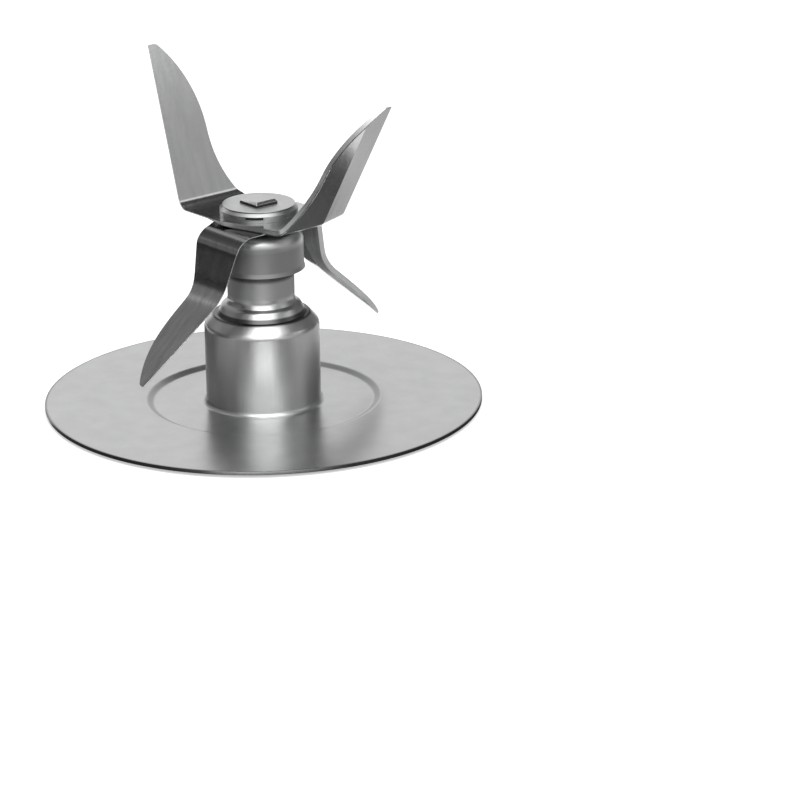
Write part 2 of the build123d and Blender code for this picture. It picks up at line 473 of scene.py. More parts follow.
@dataclass(frozen=True)
class SlingerCup:
    """The inverted cup under the blades, in millimetres."""

    wall: float = 0.5
    radius: float = 6.05
    flare: float = 0.14
    flare_height: float = 0.6
    flare_round: float = 0.8
    height: float = 6.1
    dome_round: float = 2.2
    hole: float = 3.8
    start_radius: float = 1.0
    heading: float = HEADING
    rim: float = 0.12

    def build(self) -> bpy.types.Object:
        """Spin the cup, give it its wall and cut the square hole for the shaft.

        Returns:
            The finished cup.
        """
        _, top = node_span("slinger_cap")
        lip = top - self.height
        corners = [
            (self.radius + self.flare, lip),
            (self.radius, lip + self.flare_height),
            (self.radius, top),
            (self.start_radius, top),
        ]
        path = rounded_path(corners, [self.flare_round, self.dome_round])
        cup = Workpiece.point("slinger_cup", path[0])
        cup.draw(path)
        cup.lathe()
        cup.face_up(lambda place: place.xy.length < self.hole)
        cup.change("SOLIDIFY", thickness=self.wall, offset=-1.0, use_even_offset=True)
        bar = square_bar(self.hole, lip - CUT_MARGIN, top + CUT_MARGIN, self.heading)
        cup.join(bar, "DIFFERENCE")
        return cup.finish(self.rim)

    def dress(self, piece: bpy.types.Object, steel: "SteelFinish") -> None:
        """Give the cup its finish and set it on the rotor."""
        put_on(piece, steel.material(), Body.ROTOR, "slinger_cap")


@dataclass(frozen=True)
class LeafBack:
    """The curved back of a leaf: two arcs that meet level, then a rounded corner at the tip."""

    root: float
    turn_place: float
    turn_depth: float
    length: float
    tip: float
    tip_round: float

    def at(self, along: float) -> float:
        """Place of the back across the arm.

        Args:
            along: Distance along the leaf.

        Returns:
            The place, in millimetres.
        """
        if along <= self.turn_place:
            radius = self.arc_radius(self.turn_place, self.turn_depth - self.root)
            return self.arc(radius, along)
        run = self.length - self.turn_place
        radius = self.arc_radius(run, self.turn_depth + self.tip)
        corner_run = run - self.tip_round
        inner = radius - self.tip_round
        if along - self.turn_place <= radius * corner_run / inner:
            return self.arc(radius, along)
        middle = radius - self.turn_depth - math.sqrt(inner**2 - corner_run**2)
        aside = min(along - self.length + self.tip_round, self.tip_round)
        return middle - math.sqrt(self.tip_round**2 - aside**2)

    def arc(self, radius: float, along: float) -> float:
        """Place across the arm of an arc that lies level at the turning point."""
        drop = math.sqrt(radius**2 - (along - self.turn_place) ** 2)
        return radius - self.turn_depth - math.copysign(drop, radius)

    @staticmethod
    def arc_radius(run: float, rise: float) -> float:
        """Radius of an arc that leaves level and reaches a run and a rise."""
        return (run**2 + rise**2) / (2 * rise)


@dataclass(frozen=True)
class Fold:
    """A bend in an arm, by the distance of its corner along the sheet and its inside radius."""

    corner: float
    way: Bend
    angle: float
    radius: float

    def top_radius(self, thickness: float) -> float:
        """Radius of the bend on the sheet's upper face."""
        return self.radius if self.way is Bend.UP else self.radius + thickness

    def reach(self, thickness: float) -> float:
        """Distance from the corner to either end of the bend, on the sheet's upper face."""
        return self.top_radius(thickness) * math.tan(self.angle / 2)


@dataclass(frozen=True)
class Row:
    """A row of an arm's sheet: where it lies along and above, and its back and edge across."""

    along: float
    up: float
    back: float
    edge: float

    def crease(self, width: float) -> Vector:
        """Where a band of some width along the edge begins."""
        return Vector((self.along, self.edge - width, self.up))


@dataclass(frozen=True)
class Grind:
    """The ground band along a straight edge, in millimetres."""

    width: float = 4.0
    hold: float = 5.0
    runout: float = 6.0
    land: float = 0.12


@dataclass
class Arm:
    """One arm of a blade, grown row by row from the middle of the hub plate."""

    side: int
    held: float
    tip: float
    folds: Sequence[Fold]
    outline: Callable[[float], Point2]
    rows: list[Row] = field(default_factory=list)
    place: Vector = field(default_factory=Vector)
    tilt: float = 0.0
    reached: float = 0.0

    def turned(self, along: float, across: float, up: float) -> Vector:
        """A place or step in the blade's axes from one in the arm's own."""
        return Vector((self.side * along, self.side * across, up))

    def grow(self, sheet: Workpiece, first: float, thickness: float) -> None:
        """Extrude and spin the arm out of an end row of the plate's middle strip.

        Args:
            sheet: The blade's upper face.
            first: Distance of the end row from the axis.
            thickness: Thickness of the blade.
        """
        sheet.pick(lambda place: self.side * place.x > first - MERGE_GAP)
        self.place = Vector((first, 0.0, thickness))
        self.reached = first
        self.rows.append(Row(first, thickness, *self.outline(first)))
        self.straight(sheet, self.held, PLATE_ROWS)
        for fold in self.folds:
            self.straight(sheet, fold.corner - fold.reach(thickness), LEG_ROWS)
            self.bend(sheet, fold, thickness)
        self.straight(sheet, self.tip, LEAF_ROWS, TIP_EASE)

    def straight(self, sheet: Workpiece, stop: float, count: int, ease: float = 1.0) -> None:
        """Extrude a flat stretch.

        Args:
            sheet: The blade's upper face.
            stop: Distance along the sheet where the stretch ends.
            count: Number of its rows.
            ease: How much closer the rows lie towards its end.
        """
        begin = self.reached
        for row in range(1, count + 1):
            share = 1.0 - (1.0 - row / count) ** ease
            step = begin + (stop - begin) * share - self.reached
            ahead = Vector((math.cos(self.tilt), 0.0, math.sin(self.tilt))) * step
            sheet.pull(self.turned(*ahead))
            self.place += ahead
            self.take_row(step)

    def bend(self, sheet: Workpiece, fold: Fold, thickness: float) -> None:
        """Spin a bend.

        Args:
            sheet: The blade's upper face.
            fold: The bend.
            thickness: Thickness of the blade.
        """
        way = fold.way.value
        count = math.ceil(fold.angle / FOLD_STEP)
        arm = way * fold.top_radius(thickness)
        centre = self.place + Vector((-math.sin(self.tilt), 0.0, math.cos(self.tilt))) * arm
        axis = Vector((0.0, -self.side * way, 0.0))
        for _ in range(count):
            sheet.spin(fold.angle / count, self.turned(*centre), axis, 1)
            self.tilt += way * fold.angle / count
            self.place = centre - Vector((-math.sin(self.tilt), 0.0, math.cos(self.tilt))) * arm
            self.take_row(2 * fold.reach(thickness) / count)

    def take_row(self, step: float) -> None:
        """Fit the selected row to the arm's outline, and note it.

        Args:
            step: Distance along the sheet from the row before.
        """
        self.reached += step
        last = self.rows[-1]
        row = Row(self.place.x, self.place.z, *self.outline(self.reached))
        middle = self.turned(0.0, (last.back + last.edge) / 2, 0.0)
        widen = (row.edge - row.back) / (last.edge - last.back)
        bpy.ops.transform.resize(value=(1.0, widen, 1.0), center_override=middle)
        shift = (row.back + row.edge - last.back - last.edge) / 2
        bpy.ops.transform.translate(value=self.turned(0.0, shift, 0.0))
        self.rows.append(row)

    def spans(self) -> Iterator[tuple[Row, Row]]:
        """Each two rows that follow each other where the ground band keeps its width.

        Yields:
            The two rows.
        """
        for row, after in zip(self.rows, self.rows[1:]):
            if after.along > self.held + MERGE_GAP:
                yield row, after

    def share(self, place: Vector, row: Row, after: Row) -> float | None:
        """How far a place lies from one row to the next.

        Args:
            place: The place in the blade's axes.
            row: The first row.
            after: The next row.

        Returns:
            The share of the way, or nothing if the place is elsewhere.
        """
        run = Vector((after.along - row.along, after.up - row.up))
        step = Vector((self.side * place.x - row.along, place.z - row.up))
        share = step.dot(run) / run.length_squared
        near = abs(step.cross(run)) < NEAR_GAP * run.length
        return share if near and -MERGE_GAP < share < 1.0 + MERGE_GAP else None

    def gap(self, place: Vector, grind: Grind) -> float:
        """Distance of a place on the sheet from the arm's straight edge.

        Args:
            place: The place in the blade's axes.
            grind: The ground band, which fades out in the hub plate.

        Returns:
            The distance in millimetres, past the band's width where nothing is ground.
        """
        across = self.side * place.y
        for row, after in self.spans():
            share = self.share(place, row, after)
            if share is not None:
                return row.edge + (after.edge - row.edge) * share - across
        faded = (self.held - self.side * place.x) / grind.runout
        return self.rows[0].edge + grind.width * min(max(faded, 0.0), 1.0) - across

    def score(self, sheet: Workpiece, grind: Grind, thickness: float) -> None:
        """Cut the lines where the ground band begins.

        Args:
            sheet: The blade's upper face.
            grind: The ground band.
            thickness: Thickness of the blade.
        """
        for row, after in self.spans():
            begin, end = row.crease(grind.width), after.crease(grind.width)
            if begin.y < row.back and end.y < after.back:
                continue
            run = end - begin
            square = run.cross(Vector((-run.z, 0.0, run.x)))
            sheet.pick_faces(lambda place: self.share(place, row, after) is not None)
            sheet.slice(self.turned(*begin), self.turned(*square))
        sheet.pick_faces(
            lambda place: abs(place.z - thickness) < MERGE_GAP and self.side * place.x < self.held
        )
        begin = Row(self.held, 0.0, 0.0, self.rows[0].edge).crease(grind.width)
        sheet.slice(self.turned(*begin), self.turned(grind.width, grind.runout, 0.0))


def plate_back(distance: float, edge: float, root: float, stop: float, hollow: float) -> float:
    """Place across an arm of the hub plate's side, from the far arm's edge to this arm's root.

    Args:
        distance: Distance from the axis along the arm.
        edge: The far arm's straight edge.
        root: The back at the arm's root.
        stop: Distance of the root.
        hollow: How the side is curved, straight at 1.

    Returns:
        The place, in millimetres.
    """
    share = min(max((distance - PLATE_START) / (stop - PLATE_START), 0.0), 1.0)
    return -(edge + (root - edge) * share**hollow)


@dataclass(frozen=True)
class RaisedArm:
    """Sizes of an arm that rises from the hub plate, in millimetres."""

    side: int
    bend_start: float
    angle: float
    edge: float
    far_edge: float
    length: float
    bend_radius: float = 1.2
    soft_radius: float = 1.6
    root: float = 3.4
    waist_place: float = 9.0
    waist: float = 0.65
    tip_taper: float = 0.65
    tip_width: float = 1.35
    tip_round: float = 0.9
    plate_hollow: float = 0.65

    @property
    def reach(self) -> float:
        """Distance from the bend's corner to either end of the bend."""
        return self.bend_radius * math.tan(self.angle / 2)

    @property
    def leaf_start(self) -> float:
        """Distance along the sheet where the leaf begins."""
        return self.bend_start + 2 * self.reach

    @property
    def back(self) -> LeafBack:
        """The curved back of the leaf."""
        tip = self.edge - self.tip_taper - self.tip_width
        return LeafBack(self.root, self.waist_place, self.waist, self.length, tip, self.tip_round)

    def outline(self, distance: float) -> Point2:
        """The arm's back and its straight edge.

        Args:
            distance: Distance from the axis along the sheet.

        Returns:
            Their places across the arm.
        """
        along = distance - self.leaf_start
        if along < -self.reach:
            root = -self.back.at(-self.reach)
            corner = self.bend_start + self.reach
            back = plate_back(distance, self.far_edge, root, corner, self.plate_hollow)
            return back, self.edge
        return self.back.at(along), self.edge - self.tip_taper * max(along, 0.0) / self.length

    def arm(self, hold: float) -> Arm:
        """The arm to grow, with its ground band held back from the bend.

        Args:
            hold: How far before the bend the ground band begins to fade.

        Returns:
            The arm.
        """
        fold = Fold(self.bend_start + self.reach, Bend.UP, self.angle, self.soft_radius)
        tip = self.leaf_start + self.length
        return Arm(self.side, self.bend_start - hold, tip, (fold,), self.outline)


@dataclass(frozen=True)
class FallingArm:
    """Sizes of an arm that falls past the cup and kicks outwards, in millimetres."""

    side: int
    thickness: float = BLADE_SHEET
    bend_start: float = 7.0
    bend_radius: float = 1.45
    soft_bend: float = 2.3
    drop: float = math.radians(76.0)
    edge: float = 6.6
    root: float = 2.2
    leg: float = 6.2
    knee: float = 1.25
    kick: float = math.radians(33.4)
    kick_radius: float = 2.0
    soft_kick: float = 8.0
    length: float = 14.9
    belly_place: float = 6.2
    belly: float = 1.9
    tip_edge: float = 2.05
    tip_width: float = 0.9
    tip_round: float = 0.9
    plate_hollow: float = 0.8

    @property
    def drop_reach(self) -> float:
        """Distance from the drop's corner to either end of the bend."""
        return (self.bend_radius + self.thickness) * math.tan(self.drop / 2)

    @property
    def kick_reach(self) -> float:
        """Distance from the kick's corner to either end of the bend."""
        return self.kick_radius * math.tan(self.kick / 2)

    @property
    def leg_start(self) -> float:
        """Distance along the sheet where the leg begins."""
        return self.bend_start + 2 * self.drop_reach

    @property
    def leaf_start(self) -> float:
        """Distance along the sheet where the leaf begins."""
        return self.leg_start + self.leg + 2 * self.kick_reach

    @property
    def back(self) -> LeafBack:
        """The curved back of the leaf."""
        tip = self.tip_edge - self.tip_width
        return LeafBack(self.knee, self.belly_place, self.belly, self.length, tip, self.tip_round)

    def outline(self, distance: float) -> Point2:
        """The arm's back and its straight edge.

        Args:
            distance: Distance from the axis along the sheet.

        Returns:
            Their places across the arm.
        """
        past = distance - self.leg_start
        run = min(max(past / (self.leaf_start + self.length - self.leg_start), 0.0), 1.0)
        edge = self.edge + (self.tip_edge - self.edge) * run
        if past < 0.0:
            back = plate_back(distance, self.edge, self.root, self.bend_start, self.plate_hollow)
            return back, edge
        if distance < self.leaf_start:
            return (self.root - self.knee) * min(past / self.leg, 1.0) - self.root, edge
        return self.back.at(distance - self.leaf_start), edge

    def arm(self, hold: float) -> Arm:
        """The arm to grow, with its ground band held back from the bend.

        Args:
            hold: How far before the bend the ground band begins to fade.

        Returns:
            The arm.
        """
        drop = Fold(self.bend_start + self.drop_reach, Bend.DOWN, self.drop, self.soft_bend)
        kick = Fold(self.leaf_start - self.kick_reach, Bend.UP, self.kick, self.soft_kick)
        tip = self.leaf_start + self.length
        return Arm(self.side, self.bend_start - hold, tip, (drop, kick), self.outline)


@dataclass
class Blade:
    """A stamped blade: a hub plate with a square hole and two bent arms, in millimetres."""

    name: str
    node: str
    rests_on: str
    heading: float
    shapes: tuple[RaisedArm | FallingArm, ...]
    thickness: float = BLADE_SHEET
    hole: float = 3.8
    columns: int = 6
    rim: float = 0.05
    grind: Grind = Grind()
    arms: tuple[Arm, ...] = field(init=False)

    def __post_init__(self) -> None:
        """Lay out the arms from their sizes."""
        self.arms = tuple(shape.arm(self.grind.hold) for shape in self.shapes)

    def build(self) -> bpy.types.Object:
        """Grow the upper face, score the ground bands, then give the sheet its thickness.

        Returns:
            The finished blade.
        """
        first, second = self.arms
        low = Vector((-PLATE_START, -second.outline(PLATE_START)[1], self.thickness))
        high = Vector((PLATE_START, first.outline(PLATE_START)[1], self.thickness))
        sheet = Workpiece.sheet(self.name, low, high, self.columns)
        for arm in self.arms:
            arm.grow(sheet, PLATE_START, self.thickness)
        for arm in self.arms:
            arm.score(sheet, self.grind, self.thickness)
        self.pierce(sheet)
        bpy.ops.mesh.select_all(action="SELECT")
        bpy.ops.mesh.normals_make_consistent(inside=False)
        sheet.face_up(self.on_plate)
        self.thicken(sheet)
        _, bottom = node_span(self.rests_on)
        return sheet.finish(self.rim, bottom, self.heading)

    def on_plate(self, place: Vector) -> bool:
        """Whether a place lies on the upper face of the hub plate."""
        return abs(place.z - self.thickness) < MERGE_GAP

    def pierce(self, sheet: Workpiece) -> None:
        """Cut the square hole in the middle of the hub plate.

        Args:
            sheet: The blade's upper face.
        """
        half = self.hole / 2
        for axis in (Vector((1.0, 0.0, 0.0)), Vector((0.0, 1.0, 0.0))):
            for side in (-1, 1):
                sheet.pick_faces(self.on_plate)
                sheet.slice(axis * side * half, axis)
        sheet.pick_faces(
            lambda place: self.on_plate(place) and max(abs(place.x), abs(place.y)) < half
        )
        bpy.ops.mesh.delete(type="FACE")

    def thicken(self, sheet: Workpiece) -> None:
        """Give the sheet its thickness, less in the ground bands, and note the way through it.

        Args:
            sheet: The blade's upper face.
        """
        bpy.ops.object.mode_set(mode="OBJECT")
        mesh = sheet.shape.data
        weights = sheet.shape.vertex_groups.new(name="thickness")
        land = self.grind.land / self.thickness
        for vertex in mesh.vertices:
            gap = min(arm.gap(vertex.co, self.grind) for arm in self.arms)
            share = min(max(gap / self.grind.width, 0.0), 1.0)
            weights.add([vertex.index], land + (1.0 - land) * share, "REPLACE")
        upper_count = len(mesh.vertices)
        sheet.change(
            "SOLIDIFY", thickness=self.thickness, offset=-1.0, use_even_offset=True,
            vertex_group=weights.name,
        )
        bpy.ops.object.mode_set(mode="OBJECT")
        sheet.shape.vertex_groups.clear()
        through = mesh.attributes.new(THROUGH, "FLOAT", "POINT")
        lower = [float(vertex.index >= upper_count) for vertex in mesh.vertices]
        through.data.foreach_set("value", lower)

    def dress(self, piece: bpy.types.Object, steel: "SteelFinish") -> None:
        """Give the blade its finish and set it on the rotor."""
        put_on(piece, steel.material(), Body.ROTOR, self.node)


@dataclass
class LowerBlade(Blade):
    """The blade whose two like arms fall past the cup and kick outwards."""

    name: str = "falling_blade"
    node: str = "lower_blade"
    rests_on: str = "slinger_cap"
    heading: float = HEADING + math.pi / 2
    shapes: tuple[FallingArm, ...] = (FallingArm(1), FallingArm(-1))


@dataclass
class UpperBlade(Blade):
    """The blade whose arms rise, one steeper than the other."""

    name: str = "raised_blade"
    node: str = "upper_blade"
    rests_on: str = "lower_blade"
    heading: float = HEADING
    shapes: tuple[RaisedArm, ...] = (
        RaisedArm(1, 8.0, math.radians(72.0), edge=6.7, far_edge=7.2, length=22.0),
        RaisedArm(-1, 8.5, math.radians(57.0), edge=7.2, far_edge=6.7, length=20.5),
    )


@dataclass(frozen=True)
class Fastening:
    """The washers and the square shaft end that hold the blades down, in millimetres."""

    hole: float = 3.8
    slope_width: float = 0.45
    slope_height: float = 0.38
    notch_width: float = 2.4
    notch_height: float = 0.4
    notch_lift: float = 0.4
    notch_depth: float = 4.0
    notch_turn: float = math.radians(135.0)
    washer_bevel: float = 0.05
    washer_thickness: float = 0.18
    heading: float = HEADING
    sides: int = 160
    rim: float = 0.07
    peened_rim: float = 0.03

    def build_spacer(self) -> bpy.types.Object:
        """Slope a drum's upper rim, slot it below and pierce it.

        Returns:
            The finished spacer.
        """
        radius = node_radius("spacer_washer")
        bottom = node_span("spacer_washer")[0]
        top = node_span("top_washer")[1] - self.washer_thickness
        spacer = Workpiece.drum("sloped_spacer", radius, bottom, top, self.sides)
        spacer.pick_faces(lambda place: place.z > top - MERGE_GAP)
        bpy.ops.mesh.inset(thickness=self.slope_width)
        spacer.pick(
            lambda place: place.z > top - MERGE_GAP and place.xy.length > radius - MERGE_GAP
        )
        bpy.ops.transform.translate(value=(0.0, 0.0, -self.slope_height))
        notch_size = Vector((self.notch_depth, self.notch_width, self.notch_height))
        notch_place = Vector((radius, 0.0, bottom + self.notch_lift + self.notch_height / 2))
        notch_turn = self.heading + self.notch_turn
        spacer.join(Workpiece.block("notch", notch_size, notch_place, notch_turn), "DIFFERENCE")
        self.pierce(spacer, bottom, top)
        return spacer.finish(self.rim)

    def build_washer(self) -> bpy.types.Object:
        """Bevel a drum's lower rim and pierce it.

        Returns:
            The finished washer.
        """
        top = node_span("top_washer")[1]
        bottom = top - self.washer_thickness
        washer = Workpiece.drum("peened_washer", node_radius("top_washer"), bottom, top, self.sides)
        washer.pick(lambda place: place.z < bottom + MERGE_GAP)
        washer.bevel(self.washer_bevel)
        self.pierce(washer, bottom, top)
        return washer.finish(self.peened_rim)

    def pierce(self, piece: Workpiece, bottom: float, top: float) -> None:
        """Cut the square hole for the shaft through a washer."""
        bar = square_bar(self.hole, bottom - CUT_MARGIN, top + CUT_MARGIN, self.heading)
        piece.join(bar, "DIFFERENCE")

    def dress(
        self, spacer: bpy.types.Object, washer: bpy.types.Object, steel: "SteelFinish",
    ) -> None:
        """Give both washers their finish and set them on the rotor.

        Args:
            spacer: The finished spacer.
            washer: The finished washer.
            steel: Their finish.
        """
        material = steel.material()
        put_on(spacer, material, Body.ROTOR, "spacer_washer")
        put_on(washer, material, Body.ROTOR, "top_washer")


@dataclass(frozen=True)
class DriveLine:
    """The shaft with its square end, and the socket below it, in millimetres."""

    square: float = 3.7
    crown: float = 0.3
    shaft_radius: float = 3.0
    bite: float = 0.5
    sides: int = 128
    heading: float = HEADING
    rim: float = 0.06

    def build(self) -> bpy.types.Object:
        """Fuse a crowned square bar on a round journal.

        Returns:
            The finished shaft.
        """
        bottom, top = node_span("drive_shaft")
        ledge = node_span("slinger_cap")[1] - SlingerCup.wall
        shaft = Workpiece.drum("square_shaft", self.shaft_radius, bottom, ledge, self.sides)
        bar = square_bar(self.square, ledge - self.bite, top, self.heading)
        bar.pick(lambda place: place.z > top - MERGE_GAP)
        bar.bevel(self.crown)
        shaft.join(bar, "UNION")
        return shaft.finish(self.rim)

    def dress(self, piece: bpy.types.Object, shaft: "SteelFinish", socket: "SteelFinish") -> None:
        """Give the shaft its finish, and the socket, which stays the plain solid, its own."""
        put_on(piece, shaft.material(), Body.ROTOR, "drive_shaft")
        paint_node("drive_socket", socket.material())


@dataclass(frozen=True)
class BearingStack:
    """The bearing pieces inside the hub and the neck, shown as their plain solids."""

    bushes: tuple[str, ...] = ("upper_bush", "lower_bush")
    felts: tuple[str, ...] = ("oil_felt",)
    seals: tuple[str, ...] = ("shaft_seal",)
    washers: tuple[str, ...] = ("upper_thrust_washer", "lower_thrust_washer")
    retainers: tuple[str, ...] = ("bush_retainer",)

    def dress(self, retainer: "SteelFinish", soft: "Sequence[MattFinish]") -> None:
        """Give each inner piece its finish.

        Args:
            retainer: Finish of the retainer.
            soft: Finishes of the bushes, the felt, the seal and the thrust washers.
        """
        groups = (self.bushes, self.felts, self.seals, self.washers)
        for nodes, finish in zip(groups, soft, strict=True):
            material = finish.material()
            for node in nodes:
                paint_node(node, material)
        material = retainer.material()
        for node in self.retainers:
            paint_node(node, material)


class Graph:
    """A node tree with short ways to add and link its nodes.

    The mix node has sockets of one name for each type, so those for colours go by number.
    """

    mix_inputs: tuple[int, int, int] = (0, 6, 7)
    mix_output: int = 2

    def __init__(self, tree: bpy.types.NodeTree) -> None:
        """Work on a node tree."""
        self.tree = tree

    def feed(self, node: bpy.types.Node, inputs: dict[Any, Any]) -> None:
        """Set or link a node's inputs.

        Args:
            node: The node.
            inputs: A value or a linked socket for each named or numbered input.
        """
        for key, value in inputs.items():
            if isinstance(value, bpy.types.NodeSocket):
                self.tree.links.new(value, node.inputs[key])
            else:
                node.inputs[key].default_value = value

    def add(
        self, kind: str, inputs: dict[Any, Any] | None = None, **settings: Any,
    ) -> bpy.types.Node:
        """Add a node.

        Args:
            kind: Type of the node.
            inputs: A value or a linked socket for each named or numbered input.
            **settings: Values of the node's own settings.

        Returns:
            The node.
        """
        node = self.tree.nodes.new(kind)
        for key, value in settings.items():
            setattr(node, key, value)
        self.feed(node, inputs or {})
        return node

    def group(self, name: str, inputs: dict[str, Any]) -> Any:
        """The outputs of a shared effect."""
        return self.add("ShaderNodeGroup", inputs, node_tree=Effects.group(name)).outputs

    def noise(
        self, vector: Any, scale: float, detail: float, roughness: float,
    ) -> bpy.types.NodeSocket:
        """A noise pattern's value."""
        inputs = {"Vector": vector, "Scale": scale, "Detail": detail, "Roughness": roughness}
        return self.add("ShaderNodeTexNoise", inputs).outputs[0]

    def ramp(self, value: Any, low: Any, high: Any, first: Any, last: Any) -> bpy.types.NodeSocket:
        """A value carried from one range to another, held at its ends.

        Args:
            value: The value.
            low: Start of its range.
            high: End of its range.
            first: What it becomes at the start.
            last: What it becomes at the end.

        Returns:
            The carried value.
        """
        given = {"Value": value, "From Min": low, "From Max": high}
        inputs = {**given, "To Min": first, "To Max": last}
        return self.add("ShaderNodeMapRange", inputs).outputs[0]

    def combine(self, operation: str, first: Any, second: Any) -> bpy.types.NodeSocket:
        """Two values joined by an operation, held between 0 and 1."""
        inputs = {0: first, 1: second}
        return self.add("ShaderNodeMath", inputs, operation=operation, use_clamp=True).outputs[0]

    def band(self, value: Any, low: float, high: float, fade: float) -> bpy.types.NodeSocket:
        """One where a value lies in a range, fading to nothing outside it."""
        rise = self.ramp(value, low - fade, low, 0.0, 1.0)
        return self.combine("MULTIPLY", rise, self.ramp(value, high, high + fade, 1.0, 0.0))

    def blend(self, share: Any, first: Any, second: Any) -> bpy.types.NodeSocket:
        """Two colours mixed by a share."""
        inputs = dict(zip(self.mix_inputs, (share, first, second), strict=True))
        return self.add("ShaderNodeMix", inputs, data_type="RGBA").outputs[self.mix_output]

    def length(self, vector: Any) -> bpy.types.NodeSocket:
        """The length of a vector."""
        return self.add("ShaderNodeVectorMath", {0: vector}, operation="LENGTH").outputs["Value"]

    def upward(self, vector: Any) -> bpy.types.NodeSocket:
        """The part of a vector along Z."""
        return self.add("ShaderNodeSeparateXYZ", {0: vector}).outputs["Z"]


class Effects:
    """Node groups that the finishes share.

    A noise is given by its scale, detail and roughness, and a range by its two ends.
    """

    line_noise: Point3 = (1.0, 3.0, 0.65)
    line_range: Point2 = (0.28, 0.72)
    mottle_noise: Point3 = (1.0, 4.0, 0.55)
    mottle_range: Point2 = (0.3, 0.7)
    rim_samples: int = 4
    rim_turn: Point2 = (0.995, 0.88)
    rim_noise: Point3 = (3.0, 3.0, 0.6)
    rim_range: Point2 = (0.35, 0.6)
    rim_least: float = 0.35
    pit_choice: Point2 = (0.7, 0.72)
    # A ragged line drawn low on sheared walls, by noise, ranges and fades.
    wall_line_noise: Point3 = (2.2, 4.0, 0.7)
    wall_line_range: Point2 = (0.25, 0.75)
    wall_line_depth: Point2 = (0.68, 0.9)
    wall_line_fade: float = 0.06
    wall_line_end: Point2 = (0.93, 0.99)

    @staticmethod
    def start(
        name: str, inputs: dict[str, str], outputs: Sequence[str],
    ) -> tuple[Graph, Any, bpy.types.Node]:
        """Open a new group.

        Args:
            name: Name of the group.
            inputs: Type of each input socket by its name.
            outputs: Names of the output sockets, which are plain values.

        Returns:
            The group's graph, its input sockets and its output node.
        """
        tree = bpy.data.node_groups.new(name, "ShaderNodeTree")
        for label, kind in inputs.items():
            tree.interface.new_socket(label, in_out="INPUT", socket_type=kind)
        for label in outputs:
            tree.interface.new_socket(label, in_out="OUTPUT", socket_type=FLOAT)
        graph = Graph(tree)
        return graph, graph.add("NodeGroupInput").outputs, graph.add("NodeGroupOutput")

    @classmethod
    def group(cls, name: str) -> bpy.types.NodeTree:
        """A group's tree by its name, made the first time it is asked for."""
        makers = {GRAIN: cls.grain, POLISH: cls.polish, SPECKS: cls.specks, SHEAR: cls.shear}
        return bpy.data.node_groups.get(name) or makers[name](name)

    @classmethod
    def grain(cls, name: str) -> bpy.types.NodeTree:
        """Fine lines and slow mottle, both drawn out by the mapping that feeds them.

        Args:
            name: Name of the group.

        Returns:
            The group's tree.
        """
        inputs = {"Vector": VECTOR, "Slow": VECTOR}
        graph, given, made = cls.start(name, inputs, ("Lines", "Mottle"))
        lines = graph.noise(given["Vector"], *cls.line_noise)
        mottle = graph.noise(given["Slow"], *cls.mottle_noise)
        graph.feed(made, {
            "Lines": graph.ramp(lines, *cls.line_range, 0.0, 1.0),
            "Mottle": graph.ramp(mottle, *cls.mottle_range, 0.0, 1.0),
        })
        return graph.tree

    @classmethod
    def polish(cls, name: str) -> bpy.types.NodeTree:
        """How near a place is to a rim that handling has polished, which the steel
        also paints lighter as a highlight.

        Args:
            name: Name of the group.

        Returns:
            The group's tree.
        """
        graph, given, made = cls.start(name, {"Vector": VECTOR, "Reach": FLOAT}, ("Mask",))
        reach = {"Radius": given["Reach"]}
        rounded = graph.add("ShaderNodeBevel", reach, samples=cls.rim_samples).outputs[0]
        plain = graph.add("ShaderNodeNewGeometry").outputs["Normal"]
        turn = graph.add("ShaderNodeVectorMath", {0: rounded, 1: plain}, operation="DOT_PRODUCT")
        near = graph.ramp(turn.outputs["Value"], *cls.rim_turn, 0.0, 1.0)
        worn = graph.noise(given["Vector"], *cls.rim_noise)
        worn = graph.ramp(worn, *cls.rim_range, cls.rim_least, 1.0)
        graph.feed(made, {"Mask": graph.combine("MULTIPLY", near, worn)})
        return graph.tree

    @classmethod
    def specks(cls, name: str) -> bpy.types.NodeTree:
        """Scattered small pits.

        Args:
            name: Name of the group.

        Returns:
            The group's tree.
        """
        graph, given, made = cls.start(name, {"Vector": VECTOR, "Size": FLOAT}, ("Mask",))
        cells = graph.add("ShaderNodeTexVoronoi", {"Vector": given["Vector"], "Scale": 1.0})
        spot = graph.ramp(cells.outputs["Distance"], 0.0, given["Size"], 1.0, 0.0)
        chance = graph.add("ShaderNodeSeparateColor", {0: cells.outputs["Color"]}).outputs[0]
        chosen = graph.ramp(chance, *cls.pit_choice, 0.0, 1.0)
        graph.feed(made, {"Mask": graph.combine("MULTIPLY", spot, chosen)})
        return graph.tree

    @classmethod
    def shear(cls, name: str) -> bpy.types.NodeTree:
        """The ragged dark line low on a sheared wall, from the way through the sheet.

        Args:
            name: Name of the group.

        Returns:
            The group's tree.
        """
        graph, given, made = cls.start(name, {"Vector": VECTOR, "Through": FLOAT}, ("Mask",))
        ragged = graph.noise(given["Vector"], *cls.wall_line_noise)
        ragged = graph.ramp(ragged, *cls.wall_line_range, *cls.wall_line_depth)
        depth = graph.combine("SUBTRACT", given["Through"], ragged)
        wall_line = graph.ramp(depth, 0.0, cls.wall_line_fade, 0.0, 1.0)
        inside = graph.ramp(given["Through"], *cls.wall_line_end, 1.0, 0.0)
        graph.feed(made, {"Mask": graph.combine("MULTIPLY", wall_line, inside)})
        return graph.tree


